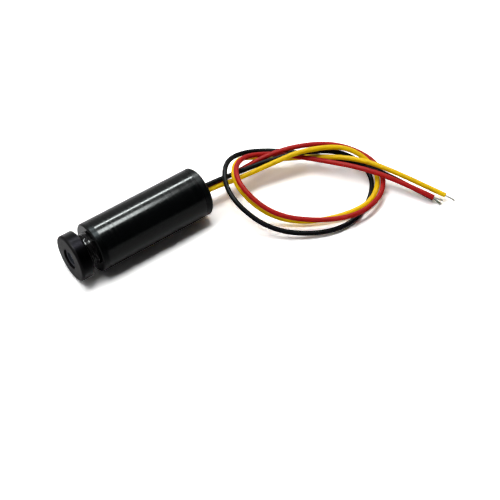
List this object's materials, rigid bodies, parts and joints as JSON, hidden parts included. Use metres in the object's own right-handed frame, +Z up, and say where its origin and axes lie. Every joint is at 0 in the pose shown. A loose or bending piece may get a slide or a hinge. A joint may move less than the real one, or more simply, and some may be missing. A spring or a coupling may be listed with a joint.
{
  "type": "laser diode module",
  "caption": "Round-bodied laser diode module with a screw-in focus cap at the front and three loose flying leads at the rear.",
  "frame": {"origin": "on the barrel's axis, halfway along the barrel", "axes": "+X along the axis towards the beam exit, +Z up from the table that the module lies on"},
  "size_m": [0.0855, 0.0405, 0.012],
  "materials": {
    "barrel_black": "satin",
    "cap_black": "matte",
    "lens_glass": "gloss",
    "ring_brass": "satin",
    "spring_steel": "satin",
    "diode_gold": "satin",
    "can_nickel": "satin",
    "window_glass": "gloss",
    "submount_ceramic": "matte",
    "chip_dark": "gloss",
    "seal_glass": "gloss",
    "board_green": "satin",
    "moulding_black": "matte",
    "resistor_black": "satin",
    "capacitor_tan": "satin",
    "solder": "satin",
    "insulation_black": "satin",
    "insulation_red": "satin",
    "insulation_yellow": "satin",
    "tinned_copper": "satin"
  },
  "bodies": {
    "housing": {"barrel": "barrel_black", "rear_cap": "barrel_black", "diode_clamp_ring": "ring_brass", "diode_stem": "diode_gold", "diode_can": "can_nickel", "diode_window": "window_glass", "submount": "submount_ceramic", "laser_chip": "chip_dark", "monitor_photodiode": "chip_dark", "lead_seals": "seal_glass", "diode_leads": "diode_gold", "driver_board": "board_green", "driver_ic": "moulding_black", "drive_transistor": "moulding_black", "chip_resistors": "resistor_black", "chip_capacitors": "capacitor_tan", "solder_joints": "solder", "black_wire": "insulation_black", "red_wire": "insulation_red", "yellow_wire": "insulation_yellow", "black_conductor": "tinned_copper", "red_conductor": "tinned_copper", "yellow_conductor": "tinned_copper"},
    "spring": {"focus_spring": "spring_steel"},
    "cap": {"focus_cap": "cap_black", "collimating_lens": "lens_glass", "lens_retainer": "ring_brass"}
  },
  "joints": [
    {"name": "focus_advance", "type": "slide", "parent": "housing", "child": "spring", "axis": [1, 0, 0], "range_m": [-0.002, 0.001], "deforming": ["focus_spring"]},
    {"name": "focus_turn", "type": "hinge", "parent": "spring", "child": "cap", "pos_m": [0.014, 0, 0], "axis": [1, 0, 0], "range_deg": [-1441, 721]}
  ],
  "couplings": [
    {"joint": "focus_turn", "follows": "focus_advance", "rad_per_m": 12566}
  ]
}
